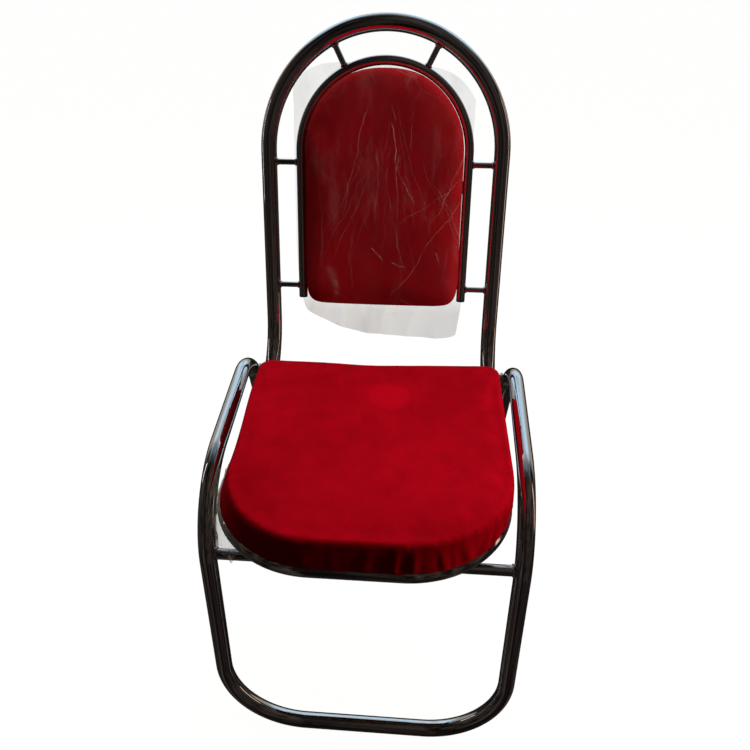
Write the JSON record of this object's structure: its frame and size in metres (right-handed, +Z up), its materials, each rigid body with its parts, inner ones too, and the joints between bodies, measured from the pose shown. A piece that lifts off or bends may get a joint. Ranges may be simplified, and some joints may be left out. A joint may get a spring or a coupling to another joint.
{
  "type": "stacking chair",
  "caption": "Stacking chair with a chromed tube frame, a round-topped hoop back and upholstered seat and back pads.",
  "frame": {"origin": "on the floor, under the middle of the chair's overall box", "axes": "+Z up, the sitter faces -Y, +X to the right of someone looking at the chair from the front"},
  "size_m": [0.4286, 0.5374, 0.9039],
  "materials": {
    "chrome": "polished",
    "zinc": "satin",
    "velvet": "matte",
    "foam": "matte",
    "plywood": "matte",
    "rubber": "matte",
    "film": "gloss"
  },
  "bodies": {
    "root": {"base_frame": "chrome", "loop_frame": "chrome", "front_stretcher": "chrome", "rear_stretcher": "chrome", "front_brace_left": "chrome", "front_brace_right": "chrome", "back_hoop": "chrome", "back_rod_top_left": "chrome", "back_rod_top_right": "chrome", "back_rod_high_left": "chrome", "back_rod_high_right": "chrome", "back_rod_low_left": "chrome", "back_rod_low_right": "chrome", "seat_tab_front_left": "chrome", "seat_tab_front_right": "chrome", "seat_tab_rear_left": "chrome", "seat_tab_rear_right": "chrome", "back_tab_low_left": "chrome", "back_tab_low_right": "chrome", "back_tab_high_left": "chrome", "back_tab_high_right": "chrome", "loop_sleeve": "zinc", "seat_screw_front_left": "zinc", "seat_screw_front_right": "zinc", "seat_screw_rear_left": "zinc", "seat_screw_rear_right": "zinc", "back_screw_low_left": "zinc", "back_screw_low_right": "zinc", "back_screw_high_left": "zinc", "back_screw_high_right": "zinc", "seat_cover": "velvet", "back_cover": "velvet", "seat_foam": "foam", "back_foam": "foam", "seat_board": "plywood", "back_board": "plywood", "rear_cap_left": "rubber", "rear_cap_right": "rubber", "hoop_plug_left": "rubber", "hoop_plug_right": "rubber", "back_film": "film"}
  },
  "joints": []
}
